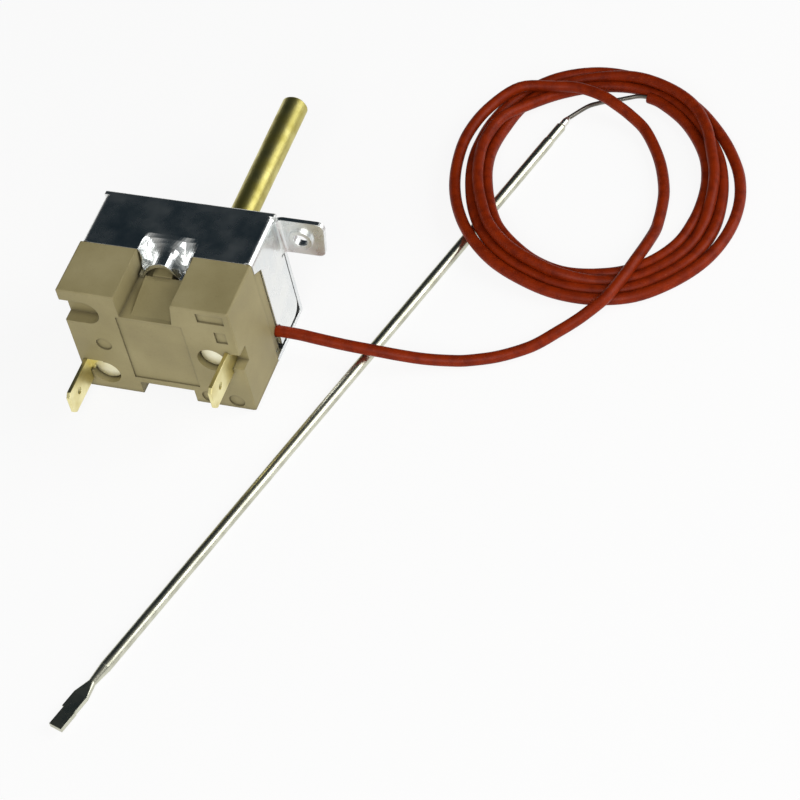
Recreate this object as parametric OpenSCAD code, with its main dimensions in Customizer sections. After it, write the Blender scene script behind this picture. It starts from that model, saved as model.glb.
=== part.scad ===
// Capillary thermostat: switch head, spindle, sleeved capillary and bulb.
// +Y runs along the spindle, away from the terminals. +Z is up.
// The origin is where the spindle axis meets the mounting face.

/* [Body] */
// Width of the switch head
body_w = 39.6; // [38.5:0.1:44]
// Height of the switch head
body_h = 31; // [30.5:0.1:36]
// Depth from the terminal face to the mounting face
body_d = 29.4; // [29:0.1:34]
// Depth of the moulding shown ahead of the steel cover
base_d = 14.1; // [13.6:0.1:14.8]
// Spindle axis, to the right of the middle of the head
axis_right = 5.2; // [4.8:0.1:5.4]
// Spindle axis, above the middle of the head
axis_up = 1; // [0.6:0.1:1.4]
// Thickness of the terminal wall
front_wall = 5; // [4.4:0.1:5.4]

/* [Steel cover] */
// Thickness of the cover sheet
sheet = 1; // [0.8:0.05:1.1]
// Outer radius of the folds
fold_r = 1.4; // [1.2:0.1:2]
// How far the cover stands inside the moulding on the left
cover_inset = 0.2; // [0.1:0.1:0.8]
// Height of the screw ear
ear_h = 9.8; // [9:0.1:11]
// Reach of the screw ear from the side of the cover
ear_reach = 10.7; // [9.5:0.1:14]
// Bore of the tapped screw holes
screw_bore = 3.3; // [3:0.1:3.6]
// Height of the drawn collar round each tapped hole
screw_collar = 0.7; // [0.4:0.1:1.2]

/* [Spindle] */
// Diameter of the spindle
spindle_dia = 6; // [5.5:0.1:6.4]
// Length of the spindle ahead of the mounting face
spindle_len = 45; // [25:1:60]
// Depth of the flat for the knob
flat_depth = 1.4; // [1:0.1:1.8]
// Length of the flat for the knob
flat_len = 12; // [8:1:20]
// Diameter of the feed thread
feed_dia = 5.4; // [5:0.1:5.8]
// Diameter of the bush neck
bush_dia = 8; // [7.8:0.1:8.6]
// How far the bush stands ahead of the mounting face
bush_proud = 2.4; // [1.8:0.1:4]
// Play between turning parts, on the radius
running_play = 0.05; // [0.02:0.01:0.08]

/* [Capsule and switch] */
// Diameter of the diaphragm capsule
capsule_dia = 20; // [17:0.5:21]
// Diameter of the insulating pin
pin_dia = 2.5; // [2:0.1:3]
// Thickness of the contact arm
arm_t = 0.4; // [0.3:0.05:0.5]
// Width of the contact arm
arm_w = 4.2; // [3.6:0.1:4.6]
// Width of a blade terminal
blade_w = 6.3; // [5.8:0.1:6.4]
// Thickness of a blade terminal
blade_t = 0.8; // [0.6:0.05:0.9]
// How far a blade stands out of the terminal face
blade_out = 10.6; // [8:0.1:14]
// Diameter of the rivet wells in the terminal face
well_dia = 6.6; // [6.4:0.1:7]
// Depth of the rivet wells
well_depth = 3.6; // [3.2:0.1:4]

/* [Capillary and bulb] */
// Outer diameter of the silicone sleeve
sleeve_dia = 2.6; // [2.3:0.1:2.8]
// Outer diameter of the capillary
capillary_dia = 1; // [0.8:0.05:1.2]
// Outer diameter of the bulb
bulb_dia = 2.5; // [2:0.1:2.8]
// Length of the round stretch of the bulb
bulb_len = 169; // [120:1:172]

/* [Hidden] */
$fn = 48;
weld = 0.05;
play = 0.1;

// Limits of the switch head
left = -body_w / 2 - axis_right;
right = left + body_w;
bottom = -body_h / 2 - axis_up;
top = bottom + body_h;
face_y = -body_d;
seam_y = face_y + base_d;

// Sizes of the moulding
moulding_r = 0.5;
face_chamfer = 0.25;
spigot_d = 3.3;
rear_y = seam_y + spigot_d;
wall_y = face_y + front_wall;
cover_left = left + cover_inset;
spigot_gap = sheet + play;
strip_step = 0.4;
strip_low = bottom + 5;
side_wall = 3;
floor_wall = 1.6;

// Centre channel in the top and notch in the bottom, for the crimped tongues
channel_left = -11.6;
channel_right = 1.5;
channel_depth = 6;
channel_floor = top - channel_depth;
channel_draft = 1;
notch_left = -11.8;
notch_right = 0.9;
notch_depth = 3.8;
notch_ceiling = bottom + notch_depth;
chamber_top = channel_floor - floor_wall;
chamber_bottom = notch_ceiling + floor_wall;
chamber_left = left + side_wall;
chamber_right = right - 2.2;
bay_left = channel_right + floor_wall;
bay_top = top - 4;
plate_lap = 0.7;

// Rib under the tongue
rib_left = -7.6;
rib_right = -3.2;
rib_h = 2.1;
rib_front = seam_y - 3.3;
ramp_left = -9.3;
ramp_h = 1.7;
ramp_front = face_y + 0.8;

// Marks and recesses of the terminal face
mark_depth = 0.4;
mark_r = 1.8;
pocket_depth = 3;
mark_in = [7.4, 10.3, 4];
mark_up = 2.5;
face_marks = [[left + mark_in[0], -1.55], [right - mark_in[1], bottom + mark_up],
              [right - mark_in[2], bottom + mark_up]];
label_recesses = [[7.7, 1.6, 3.8, 1.2], [4.6, 2, 9.7, 6.4]];
panel_depth = 0.3;
panel_left = -12.6;
panel_right = 2.6;
panel_low = bottom + 5.3;
panel_high = channel_floor - 0.4;

// Rivets, wells and blades
common_well = [left + 5.6, bottom + 5.4];
output_well = [right - 7, -1.35];
spare_well = [left + 5.3, top - 6.4];
well_r = well_dia / 2;
common_x = left + 1.1;
common_z = bottom + 2.64;
output_x = right - 3.4;
output_z = -4.35;
slot_gap = 0.05;
pocket_top = blade_w - 0.35;
rivet_r = 1.5;
rivet_head_r = well_r - 0.35;
rivet_head = 2.2;
rivet_tail_r = 2;
rivet_tail = 0.7;
foot_h = 3.6;
foot_sunk = 0.6;
foot_tail = 4.4;
foot_y = wall_y + blade_t;
foot_room = common_well[0] - common_x + foot_tail + play;

// Contact arm: a straight lever along arm_angle that crosses the spindle axis
pivot_in = 9.26;
pivot_up = 2.36;
pivot_x = left + pivot_in;
pivot_z = chamber_bottom + pivot_up;
arm_angle = atan(pivot_z / pivot_x);
pivot_s = -norm([pivot_x, pivot_z]);
contact_x = output_x - 4;
contact_z = contact_x * tan(arm_angle);
contact_s = contact_x / cos(arm_angle);
arm_tip_s = contact_s + 2.1;
arm_slot_end = 4;
arm_top_y = -20.2;
arm_low_y = arm_top_y - arm_t;
groove_deep = 0.5;
groove_gap = 0.2;
lug_t = 1;
contact_r = 1.5;
contact_h = 0.7;
contact_gap = 1;
fixed_leg_y = arm_top_y + contact_h + contact_gap + contact_h;
riser_h = 3.8;
riser_low = contact_z - riser_h / 2;

// Pieces along the spindle axis
bush_flange = 1.2;
bush_flange_r = 5.5;
washer_t = 0.75;
washer_y = -sheet - bush_flange - running_play;
collar_y = washer_y - washer_t;
collar_t = 1;
collar_r = 4;
feed_top = collar_y - collar_t;
feed_len = 3.1;
nut_top = -5;
nut_len = 3.4;
nut_low = nut_top - nut_len;
nut_r = 4.5;
lug_w = 5;
lug_h = 1.5;
lug_reach = 8.9;
guide_z = 7.5;
guide_t = 1;
guide_w = 9;
guide_foot = 2;
guide_low = -8.2;
guide_slot_low = -7.2;
guide_slot_high = -4.3;
hub_h = 0.6;
hub_low = nut_low - hub_h;
capsule_r = capsule_dia / 2;
disc_t = 0.3;
rim_y = hub_low - 0.8;
membrane_low = rim_y - 0.9;
button_r = 2.4;
button_h = 0.6;
button_low = membrane_low - button_h;
plate_t = 1.4;
plate_y = rear_y - play;
boss_r = 2.6;
boss_low = plate_y - plate_t - 2.4;
stop_r = 6.3;
stop_w = 4;
stop_deep = 2;
tab_w = 1.8;
tab_reach = 7.1;
turn_range = 300;
rest_angle = (360 - turn_range) / 2;
ring_r = 4.2;
ring_t = 0.7;
ring_y = bush_proud + 0.1;
groove_r = spindle_dia / 2 - 0.5;
groove_end = ring_y + ring_t + 0.3;
flat_angle = 67;

// Screw ear and tapped holes, placed opposite each other across the spindle
ear_top = top - sheet - 0.2;
ear_low = ear_top - ear_h;
ear_fold = 1.5;
ear_end = right + ear_reach;
ear_slant = 0.9;
ear_r = 1.6;
screw_x = right + 5;
screw_z = ear_low + ear_h / 2;
screw_collar_r = screw_bore / 2 + 1;

// Side flaps of the cover, and its sharper folds at the rear
rear_r = 0.7;
flap_low = bottom + 2;
flap_rear = -fold_r;
flap_front = seam_y + 3.4;
flap_nose = seam_y + 0.3;
strip_gap = 0.1;
nose_low = top - 3.2;
nose_foot = top - 5;
flap_corner = 3;

// Exit of the sleeve, on the seam between moulding and cover
exit_z = -10.1;
exit_y = rear_y;
exit_play = 0.15;
sleeve_in = right - 2;

// Route of the sleeve lead, on and above the floor
lead_points = [[sleeve_in, exit_y, exit_z], [20, exit_y, -10.3], [24, -12.1, -10.7], [30, -12, -11.5],
               [36, -11.8, -12.1], [42, -11.2, -13.2], [47, -10.3, -14.3], [52, -9.2, -15],
               [56, -8.2, -15.2], [62, -5.9, -15.2], [68, -2, -15.2], [73, 3, -14.6], [76, 5.8, -13.8],
               [78, 7.9, -13.1], [80, 10.6, -12.6]];
lead_sides = 8;

// Coil: an oval of turns lying on the floor
coil_x = 69;
coil_y = 45;
coil_z = bottom;
coil_r = 31.4;
coil_shift = 5.6;
coil_angle = 130;
coil_h = 5.4;
coil_hole_r = 17.4;
coil_hole_x = -4;

// Bulb, lying on the floor and passing under the coil
bulb_x = 7.9;
bulb_y = -99.4;
bulb_angle = 73.6;
neck_len = 8;
tip_len = 8.4;
tip_w = 3.3;
tip_t = 1.1;
cap_len = 5;
braze_len = 2.6;
braze_r = 0.85;
channel_play = 0.3;

// Route of the bare capillary from the bulb into the coil
bulb_end = bulb_len + braze_len;
capillary_z = bottom + 1.25;
capillary_points = [[bulb_x + bulb_end * cos(bulb_angle), bulb_y + bulb_end * sin(bulb_angle), capillary_z],
                    [59.4, 69.6, -15.5], [61.4, 71.3, -15.7], [63.6, 72.6, -15.9], [66, 73.4, -15.9],
                    [68.5, 73.8, -15.9], [71, 73.7, -15.8], [73.5, 73.1, -15.5], [76, 72, -15.2],
                    [78.3, 70.6, -15.2], [80.4, 69, -15.2]];

// Sweep of a round tube along points
function unit(v) = v / norm(v);
function tangent(p, i) = unit(p[min(i + 1, len(p) - 1)] - p[max(i - 1, 0)]);
function ring_at(p, i, r, sides, up) =
    let (t = tangent(p, i), u = unit(cross(t, up)), w = cross(u, t))
    [for (k = [0 : sides - 1]) p[i] + r * (cos(360 * k / sides) * u + sin(360 * k / sides) * w)];
function flat_list(rows) = [for (row = rows) for (item = row) item];

module tube(p, r, sides, up = [0, 0, 1]) {
    last = len(p) - 1;
    rings = flat_list([for (i = [0 : last]) ring_at(p, i, r, sides, up)]);
    walls = flat_list([for (i = [0 : last - 1]) [for (k = [0 : sides - 1])
        [i * sides + k, i * sides + (k + 1) % sides,
         (i + 1) * sides + (k + 1) % sides, (i + 1) * sides + k]]]);
    near_end = [[for (k = [0 : sides - 1]) sides - 1 - k]];
    far_end = [[for (k = [0 : sides - 1]) last * sides + k]];
    polyhedron(points = rings, faces = concat(walls, near_end, far_end), convexity = 6);
}

// Puts a shape drawn in X and Z, with its depth along +Y, at depth y
module along_y(y, depth) {
    translate([0, y + depth, 0])
        rotate([90, 0, 0])
            linear_extrude(height = depth, convexity = 6)
                children();
}

// Puts a turned shape, drawn as radius and Y, round the spindle axis
module turned() {
    rotate([-90, 0, 0])
        rotate_extrude()
            children();
}

module drill(x, z, r, y0, y1) {
    translate([x, y1, z])
        rotate([90, 0, 0])
            cylinder(r = r, h = y1 - y0);
}

module block(x0, x1, y0, y1, z0, z1) {
    translate([x0, y0, z0])
        cube([x1 - x0, y1 - y0, z1 - z0]);
}

// Places children in the frame of the contact arm: X along the arm, Y as the row
module in_arm_frame() {
    rotate([0, -arm_angle, 0])
        children();
}

module round_outline(x0, x1, z0, z1, r) {
    translate([x0 + r, z0])
        square([x1 - x0 - 2 * r, z1 - z0]);
    translate([x0, z0 + r])
        square([x1 - x0, z1 - z0 - 2 * r]);
    for (x = [x0 + r, x1 - r], z = [z0 + r, z1 - r])
        translate([x, z])
            circle(r = r);
}

module face_well(at, deep) {
    drill(at[0], at[1], well_r, face_y - play, face_y + deep);
}

module face_mark(x, z, r) {
    drill(x, z, r, face_y - play, face_y + mark_depth);
}

// Moulded base with the switch chamber, wells, channel and notch
module switch_base() {
    color([0.62, 0.56, 0.44])
        difference() {
            union() {
                along_y(face_y + face_chamfer, base_d - face_chamfer)
                    round_outline(left, right, bottom, top, moulding_r);
                hull() {
                    along_y(face_y + face_chamfer, weld)
                        round_outline(left, right, bottom, top, moulding_r);
                    along_y(face_y, weld)
                        round_outline(left + face_chamfer, right - face_chamfer,
                                      bottom + face_chamfer, top - face_chamfer, moulding_r);
                }
                block(cover_left + spigot_gap, right - spigot_gap, seam_y - weld, rear_y,
                      bottom + spigot_gap, top - spigot_gap);
                side_strip(right - spigot_gap - weld, right - strip_step);
                side_strip(cover_left + strip_step, cover_left + spigot_gap + weld);
            }
            base_channels();
            base_chamber();
            base_face_recesses();
            drill_exit();
        }
    color([0.62, 0.56, 0.44])
        tongue_rib();
}

// Strip of the moulding that shows ahead of a side flap and follows its edge
module side_strip(x0, x1) {
    translate([x0, 0, 0])
        rotate([90, 0, 90])
            linear_extrude(height = x1 - x0)
                polygon([[seam_y - weld, strip_low], [flap_front - strip_gap, strip_low],
                         [flap_front - strip_gap, nose_foot], [flap_nose - strip_gap, nose_low],
                         [flap_nose - strip_gap, top - fold_r], [seam_y - weld, top - fold_r]]);
}

module base_channels() {
    along_y(face_y - play, base_d + spigot_d + 2 * play)
        polygon([[channel_left, top + play], [channel_left, channel_floor],
                 [channel_right - channel_draft, channel_floor], [channel_right, top + play]]);
    along_y(face_y - play, base_d + spigot_d + 2 * play)
        polygon([[notch_left, bottom - play], [notch_left, notch_ceiling],
                 [notch_right, notch_ceiling], [notch_right, bottom - play]]);
    block(notch_left, tongue_right + seam_land, seam_y, rear_y + play, bottom - play, notch_ceiling);
}

module base_chamber() {
    block(chamber_left, chamber_right, wall_y, rear_y + play, chamber_bottom, chamber_top);
    block(bay_left, chamber_right, wall_y, rear_y + play, chamber_bottom, bay_top);
    block(common_x - slot_gap, chamber_left + weld, wall_y, rear_y - spigot_d - play,
          common_z - slot_gap, common_z + blade_w + slot_gap);
    block(common_x - slot_gap, common_x + foot_room, wall_y, rear_y - spigot_d - play,
          common_z - slot_gap, chamber_bottom + weld);
    for (b = [[common_x, common_z], [output_x, output_z]])
        block(b[0] - slot_gap, b[0] + blade_t + slot_gap, face_y - play, wall_y + play,
              b[1] - slot_gap, b[1] + blade_w + slot_gap);
    for (w = [common_well, output_well])
        drill(w[0], w[1], rivet_r + slot_gap, face_y - play, wall_y + play);
    for (room = [[chamber_left, chamber_top], [bay_left, bay_top]])
        block(room[0] - plate_lap - play, chamber_right + plate_lap + play, plate_y - plate_t,
              rear_y + play, chamber_bottom - plate_lap - play, room[1] + plate_lap + play);
}

module base_face_recesses() {
    face_well(common_well, well_depth);
    face_well(output_well, well_depth);
    face_well(spare_well, pocket_depth);
    block(left - play, spare_well[0], face_y - play, face_y + pocket_depth,
          spare_well[1] - well_r, spare_well[1] + well_r);
    block(output_x + blade_t, right + play, face_y - play, face_y + pocket_depth,
          output_z + 1.35, output_z + pocket_top);
    block(output_x + blade_t, output_x + 2 * blade_t, face_y - play, wall_y - play,
          output_z + blade_w / 2, output_z + pocket_top);
    block(common_x, common_well[0], face_y - play, face_y + foot_sunk + blade_t + slot_gap,
          common_z + blade_w - foot_h - slot_gap, common_z + blade_w + slot_gap);
    block(panel_left, panel_right, face_y - play, face_y + panel_depth, panel_low, panel_high);
    for (b = label_recesses)
        block(right - b[0], right - b[1], face_y - play, face_y + mark_depth, top - b[2], top - b[3]);
    for (m = face_marks)
        face_mark(m[0], m[1], mark_r);
}

// Way out of the head for the sleeve, half in the moulding and half in the cover
module drill_exit() {
    translate([capsule_r - 1.2, exit_y, exit_z])
        rotate([0, 90, 0])
            cylinder(r = sleeve_dia / 2 + exit_play, h = body_w);
}

// Rib in the top channel, with a wide ramp to the front
module tongue_rib() {
    block(rib_left, rib_right, rib_front, rear_y, channel_floor - weld, channel_floor + rib_h);
    translate([ramp_left, 0, 0])
        rotate([90, 0, 90])
            linear_extrude(height = channel_right - channel_draft - ramp_left + weld)
                polygon([[rib_front + weld, channel_floor - weld],
                         [rib_front + weld, channel_floor + ramp_h],
                         [rib_front - 1, channel_floor + ramp_h], [ramp_front, channel_floor - weld]]);
}

// Sheet of the crimped tongue: depth below the cover as a function of x
tongue_left = -11.4;
tongue_right = 1.3;
foot_left = -10.4;
foot_right = -1.9;
crest_x = -5;
crest_dip = 0.8;
tongue_out = 2.7;
dish_in = 5;
seam_land = 0.3;
lip_start = 0.7;
foot_splay = 0.8;
foot_rise = 1.1;

function arch_dip(x, deep) =
    let (reach = x < crest_x ? crest_x - foot_left : foot_right - crest_x)
    crest_dip + (deep - crest_dip) * pow(min(1, abs(x - crest_x) / reach), 2.2);
function flank_dip(x, deep) =
    let (k = x < crest_x ? (x - tongue_left) / (foot_left - tongue_left)
                         : (tongue_right - x) / (tongue_right - foot_right))
    deep * (3 * k * k - 2 * k * k * k);
function tongue_dip(x, deep) =
    x <= tongue_left || x >= tongue_right ? 0 :
    x >= foot_left && x <= foot_right ? arch_dip(x, deep) : flank_dip(x, deep);
function lip_dip(x, deep) = x >= foot_left && x <= foot_right ? arch_dip(x, deep) : deep;
function dish_fade(k) = 1 - 3 * k * k + 2 * k * k * k;

function steps(a, b, n) = [for (i = [0 : n]) a + (b - a) * i / n];
function fade_at(y) = dish_fade(max(0, min(1, (y - seam_y) / dish_in)));

// Sheet over a grid of lines xs and ys, pressed down by the tongue's dip
module pressed_sheet(xs, ys, deep) {
    nx = len(xs);
    ny = len(ys);
    n = nx * ny;
    upper = [for (y = ys) for (x = xs)
        [x, y, top - (y < seam_y ? lip_dip(x, deep) : tongue_dip(x, deep) * fade_at(y))]];
    lower = [for (p = upper) [p[0], p[1], p[2] - sheet]];
    roof = flat_list([for (j = [0 : ny - 2]) [for (i = [0 : nx - 2])
        [j * nx + i, (j + 1) * nx + i, (j + 1) * nx + i + 1, j * nx + i + 1]]]);
    soffit = [for (f = roof) [for (k = [3 : -1 : 0]) f[k] + n]];
    rim = concat(
        [for (i = [0 : nx - 2]) [i, i + 1, n + i + 1, n + i]],
        [for (i = [0 : nx - 2]) let (a = (ny - 1) * nx + i) [a + 1, a, n + a, n + a + 1]],
        [for (j = [0 : ny - 2]) let (a = j * nx) [a + nx, a, n + a, n + a + nx]],
        [for (j = [0 : ny - 2]) let (a = j * nx + nx - 1) [a, a + nx, n + a + nx, n + a]]);
    tri = flat_list([for (f = concat(roof, soffit, rim)) [[f[0], f[1], f[2]], [f[0], f[2], f[3]]]]);
    polyhedron(points = concat(upper, lower), faces = tri, convexity = 6);
}

// Tongue of the cover, crimped down into the channel, with the dent behind it
module crimped_tongue(deep) {
    xs = concat([tongue_left - seam_land], steps(tongue_left, foot_left, 3),
                [for (i = [1 : 14]) foot_left + (foot_right - foot_left) * i / 14],
                [for (i = [1 : 5]) foot_right + (tongue_right - foot_right) * i / 5],
                [tongue_right + seam_land]);
    ys = concat([seam_y - tongue_out, seam_y - lip_start, seam_y],
                [for (i = [1 : 5]) seam_y + dish_in * i / 5],
                [seam_y + dish_in + seam_land]);
    difference() {
        pressed_sheet(xs, ys, deep);
        block(tongue_left - seam_land - 1, foot_left - foot_splay, seam_y - tongue_out - 1, seam_y,
              top - channel_depth - 2, top + 1);
        block(foot_right + foot_splay, tongue_right + seam_land + 1, seam_y - tongue_out - 1, seam_y,
              top - channel_depth - 2, top + 1);
    }
}

// Opening in the flat sheet that the pressed one fills
module tongue_opening() {
    block(tongue_left - seam_land / 2, tongue_right + seam_land / 2, seam_y - play,
          seam_y + dish_in + seam_land / 2, top - sheet - play, top + play);
}

module cover_rear_fold() {
    difference() {
        union() {
            translate([seam_y, bottom])
                square([-seam_y - rear_r, body_h]);
            translate([seam_y, bottom + rear_r])
                square([-seam_y, body_h - 2 * rear_r]);
            for (z = [bottom + rear_r, top - rear_r])
                translate([-rear_r, z])
                    circle(r = rear_r);
        }
        translate([seam_y - play, bottom + sheet])
            square([-seam_y + play - sheet, body_h - 2 * sheet]);
    }
}

module flap_outline(front) {
    difference() {
        polygon([[flap_rear, top - fold_r], [front, top - fold_r], [front, nose_low],
                 [flap_front, nose_foot], [flap_front, flap_low], [flap_rear, flap_low]]);
        translate([flap_rear - flap_corner, flap_low - play])
            difference() {
                square([flap_corner + play, flap_corner + play]);
                translate([0, flap_corner + play])
                    circle(r = flap_corner);
            }
    }
}

module side_flap(x, front) {
    translate([x, 0, 0])
        rotate([90, 0, 90])
            linear_extrude(height = sheet)
                flap_outline(front);
}

// Quarter ring that joins the top of the cover to a side flap
module side_fold(x, start, front) {
    translate([x, 0, top - fold_r])
        intersection() {
            along_y(front, flap_rear - front)
                difference() {
                    circle(r = fold_r);
                    circle(r = fold_r - sheet);
                }
            translate([start, front, 0])
                cube([fold_r, flap_rear - front, fold_r]);
        }
}

// Corner of sheet cut away so that the ear can fold back
module ear_relief() {
    block(right - sheet - play, right + play, -sheet - ear_fold, play, ear_low - 0.6, top - sheet);
}

// Points round a corner of the ear, from angle a to angle b
function ear_corner(x, z, a, b) =
    [for (t = steps(a, b, 5)) [x - ear_r + ear_r * cos(t), z + ear_r * sin(t)]];

module screw_ear() {
    translate([right + ear_fold, -sheet - ear_fold, ear_low])
        intersection() {
            difference() {
                cylinder(r = ear_fold + sheet, h = ear_h);
                translate([0, 0, -play])
                    cylinder(r = ear_fold, h = ear_h + 2 * play);
            }
            translate([-ear_fold - sheet, 0, 0])
                cube([ear_fold + sheet, ear_fold + sheet, ear_h]);
        }
    along_y(-sheet, sheet)
        polygon(concat([[right + ear_fold, ear_top], [right + ear_fold, ear_low]],
                       ear_corner(ear_end - ear_slant, ear_low + ear_r, -90, -5),
                       ear_corner(ear_end, ear_top - ear_r, -5, 90)));
    drill(screw_x, screw_z, screw_collar_r, -sheet - screw_collar, -sheet + weld);
}

module cover_shell() {
    difference() {
        union() {
            difference() {
                translate([cover_left, 0, 0])
                    rotate([90, 0, 90])
                        linear_extrude(height = right - cover_left)
                            cover_rear_fold();
                for (x = [cover_left - play, right - fold_r])
                    block(x, x + fold_r + play, seam_y - play, flap_rear, top - fold_r, top + play);
                tongue_opening();
                flip_z()
                    tongue_opening();
            }
            side_fold(right - fold_r, 0, flap_nose);
            side_fold(cover_left + fold_r, -fold_r, flap_nose);
            side_flap(right - sheet, flap_nose);
            side_flap(cover_left, flap_nose);
            crimped_tongue(channel_depth - foot_rise);
            flip_z()
                crimped_tongue(notch_depth - foot_rise);
        }
        ear_relief();
    }
}

// Turns what is drawn at the top of the cover over, to the bottom
module flip_z() {
    translate([0, 0, top + bottom])
        mirror([0, 0, 1])
            children();
}

// Folded steel cover: mounting plate, top and bottom with crimped tongues, sides and screw ear
module steel_cover() {
    color([0.72, 0.75, 0.78])
        difference() {
            union() {
                cover_shell();
                screw_ear();
                drill(-screw_x, -screw_z, screw_collar_r, -sheet - screw_collar, -sheet + weld);
                stop_lug();
            }
            drill_exit();
            drill(0, 0, bush_dia / 2 + 0.02, -sheet - play, play);
            drill(screw_x, screw_z, screw_bore / 2, -sheet - screw_collar - play, play);
            drill(-screw_x, -screw_z, screw_bore / 2, -sheet - screw_collar - play, play);
        }
}

// Lug lanced inward from the mounting plate: the stop for the washer's tab
module stop_lug() {
    rotate([0, 180, 0])
        block(stop_r - 0.7, stop_r + 0.9, -sheet - stop_deep, -sheet + weld, -stop_w / 2, stop_w / 2);
}

module spindle_bush() {
    color([0.75, 0.62, 0.3])
        turned()
            polygon([[spindle_dia / 2 + running_play, -sheet - bush_flange],
                     [bush_flange_r, -sheet - bush_flange], [bush_flange_r, -sheet],
                     [bush_dia / 2, -sheet], [bush_dia / 2, bush_proud - 0.4],
                     [bush_dia / 2 - 0.4, bush_proud], [spindle_dia / 2 + running_play, bush_proud]]);
}

// Turned spindle with a collar, a feed thread, a ring groove and a flat for the knob
module spindle() {
    shaft_r = spindle_dia / 2;
    color([0.72, 0.58, 0.27])
        difference() {
            turned()
                polygon([[0, feed_top - feed_len], [feed_dia / 2 - 0.4, feed_top - feed_len],
                         [feed_dia / 2, feed_top - feed_len + 0.4], [feed_dia / 2, feed_top],
                         [collar_r, feed_top], [collar_r, collar_y], [shaft_r, collar_y],
                         [shaft_r, ring_y - running_play], [groove_r, ring_y - running_play],
                         [groove_r, groove_end], [shaft_r, groove_end],
                         [shaft_r, spindle_len - 0.7], [shaft_r - 0.7, spindle_len], [0, spindle_len]]);
            rotate([0, -flat_angle, 0])
                block(-shaft_r - play, -shaft_r + flat_depth, spindle_len - flat_len,
                      spindle_len + play, -shaft_r - play, shaft_r + play);
        }
}

// Washer that turns with the spindle; its tab meets the stop lug at both ends of the travel
module stop_washer() {
    color([0.6, 0.6, 0.62])
        along_y(collar_y, washer_t)
            difference() {
                union() {
                    circle(r = collar_r + 0.6);
                    rotate([0, 0, 180 + rest_angle])
                        translate([0, -tab_w / 2])
                            square([tab_reach, tab_w]);
                }
                circle(r = spindle_dia / 2 + 0.02);
            }
}

module retaining_ring() {
    color([0.35, 0.36, 0.38])
        along_y(ring_y, ring_t)
            difference() {
                circle(r = ring_r);
                circle(r = groove_r + 0.02);
                translate([0, -ring_r * 1.2])
                    polygon([[0, ring_r * 1.2], [-groove_r * 0.8, 0], [groove_r * 0.8, 0]]);
            }
}

// Slotted plates welded to the mounting plate: they keep the feed nut from turning
module nut_guide() {
    difference() {
        union() {
            block(-guide_w / 2, guide_w / 2, guide_low, -sheet, guide_z, guide_z + guide_t);
            block(-guide_w / 2, guide_w / 2, -sheet - guide_t, -sheet, guide_z + guide_t - weld,
                  guide_z + guide_t + guide_foot);
        }
        block(-lug_w / 2 - running_play, lug_w / 2 + running_play, guide_slot_low, guide_slot_high,
              guide_z - play, guide_z + guide_t + play);
    }
}

module upper_guide() {
    color([0.66, 0.68, 0.7])
        nut_guide();
}

module lower_guide() {
    color([0.66, 0.68, 0.7])
        mirror([0, 0, 1])
            nut_guide();
}

// Nut that the feed thread moves along the axis, with two lugs in the guides
module feed_nut() {
    color([0.78, 0.66, 0.34])
        difference() {
            union() {
                drill(0, 0, nut_r, nut_low, nut_top);
                block(-lug_w / 2, lug_w / 2, nut_top - lug_h, nut_top, -lug_reach, lug_reach);
            }
            drill(0, 0, feed_dia / 2 + running_play, nut_low + 0.5, nut_top + play);
        }
}

module capsule_back() {
    color([0.7, 0.7, 0.68])
        turned()
            polygon([[0, hub_low], [0, nut_low], [3.4, nut_low], [3.6, hub_low],
                     [capsule_r - 3, hub_low - 0.1], [capsule_r - 1.6, rim_y], [capsule_r, rim_y],
                     [capsule_r, rim_y - disc_t], [capsule_r - 1.8, rim_y - disc_t],
                     [capsule_r - 3.2, hub_low - 0.4], [1, hub_low - 0.5], [0, hub_low - 0.5]]);
}

// Corrugated membrane, welded to the back at the rim
wave_h = 0.25;
wave_n = 3;
function wave_y(r) =
    rim_y - disc_t - (r > capsule_r - 1.2 ? 0 : 0.35 + wave_h * sin(360 * wave_n * r / (capsule_r - 1.2)));

module capsule_membrane() {
    rs = steps(button_r, capsule_r - 1.2, 24);
    base_y = membrane_low + disc_t;
    color([0.74, 0.74, 0.72])
        turned()
            polygon(concat([[0, base_y], [button_r, base_y]],
                           [for (r = rs) if (r > button_r + 0.1) [r, wave_y(r)]],
                           [[capsule_r - 0.9, rim_y - disc_t], [capsule_r, rim_y - disc_t],
                            [capsule_r, rim_y - 2 * disc_t], [capsule_r - 1, rim_y - 2 * disc_t]],
                           [for (i = [len(rs) - 1 : -1 : 0]) if (rs[i] > button_r + 0.1)
                               [rs[i], wave_y(rs[i]) - disc_t]],
                           [[button_r, membrane_low], [0, membrane_low]]));
}

module thrust_button() {
    color([0.6, 0.6, 0.6])
        turned()
            polygon([[0, button_low], [button_r - 0.4, button_low], [button_r - 0.2, button_low + 0.3],
                     [button_r - 0.2, membrane_low], [0, membrane_low]]);
}

// Ends of the capillary inside the head
tail_angle = -53;
tail_start = (capsule_r - 0.7) * [cos(tail_angle), sin(tail_angle)];
tail_end = sleeve_in - 0.3;

// A point between the ends: share of the way in X and in Z, and fall below the rim
function tail_point(x_share, z_share, fall) =
    [tail_start[0] + (tail_end - tail_start[0]) * x_share, rim_y - disc_t - fall,
     tail_start[1] + (exit_z - tail_start[1]) * z_share];

// Stretch of capillary inside the head, brazed to the capsule and ending in the sleeve's groove
module capillary_tail() {
    color([0.6, 0.45, 0.35])
        tube([[tail_start[0], rim_y - disc_t, tail_start[1]], tail_point(0.21, 0.5, 0.2),
              tail_point(0.45, 0.85, 0.9), [tail_end - 1.9, exit_y + 0.9, exit_z],
              [tail_end, exit_y + 0.2, exit_z]], capillary_dia / 2, 8);
}

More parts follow.
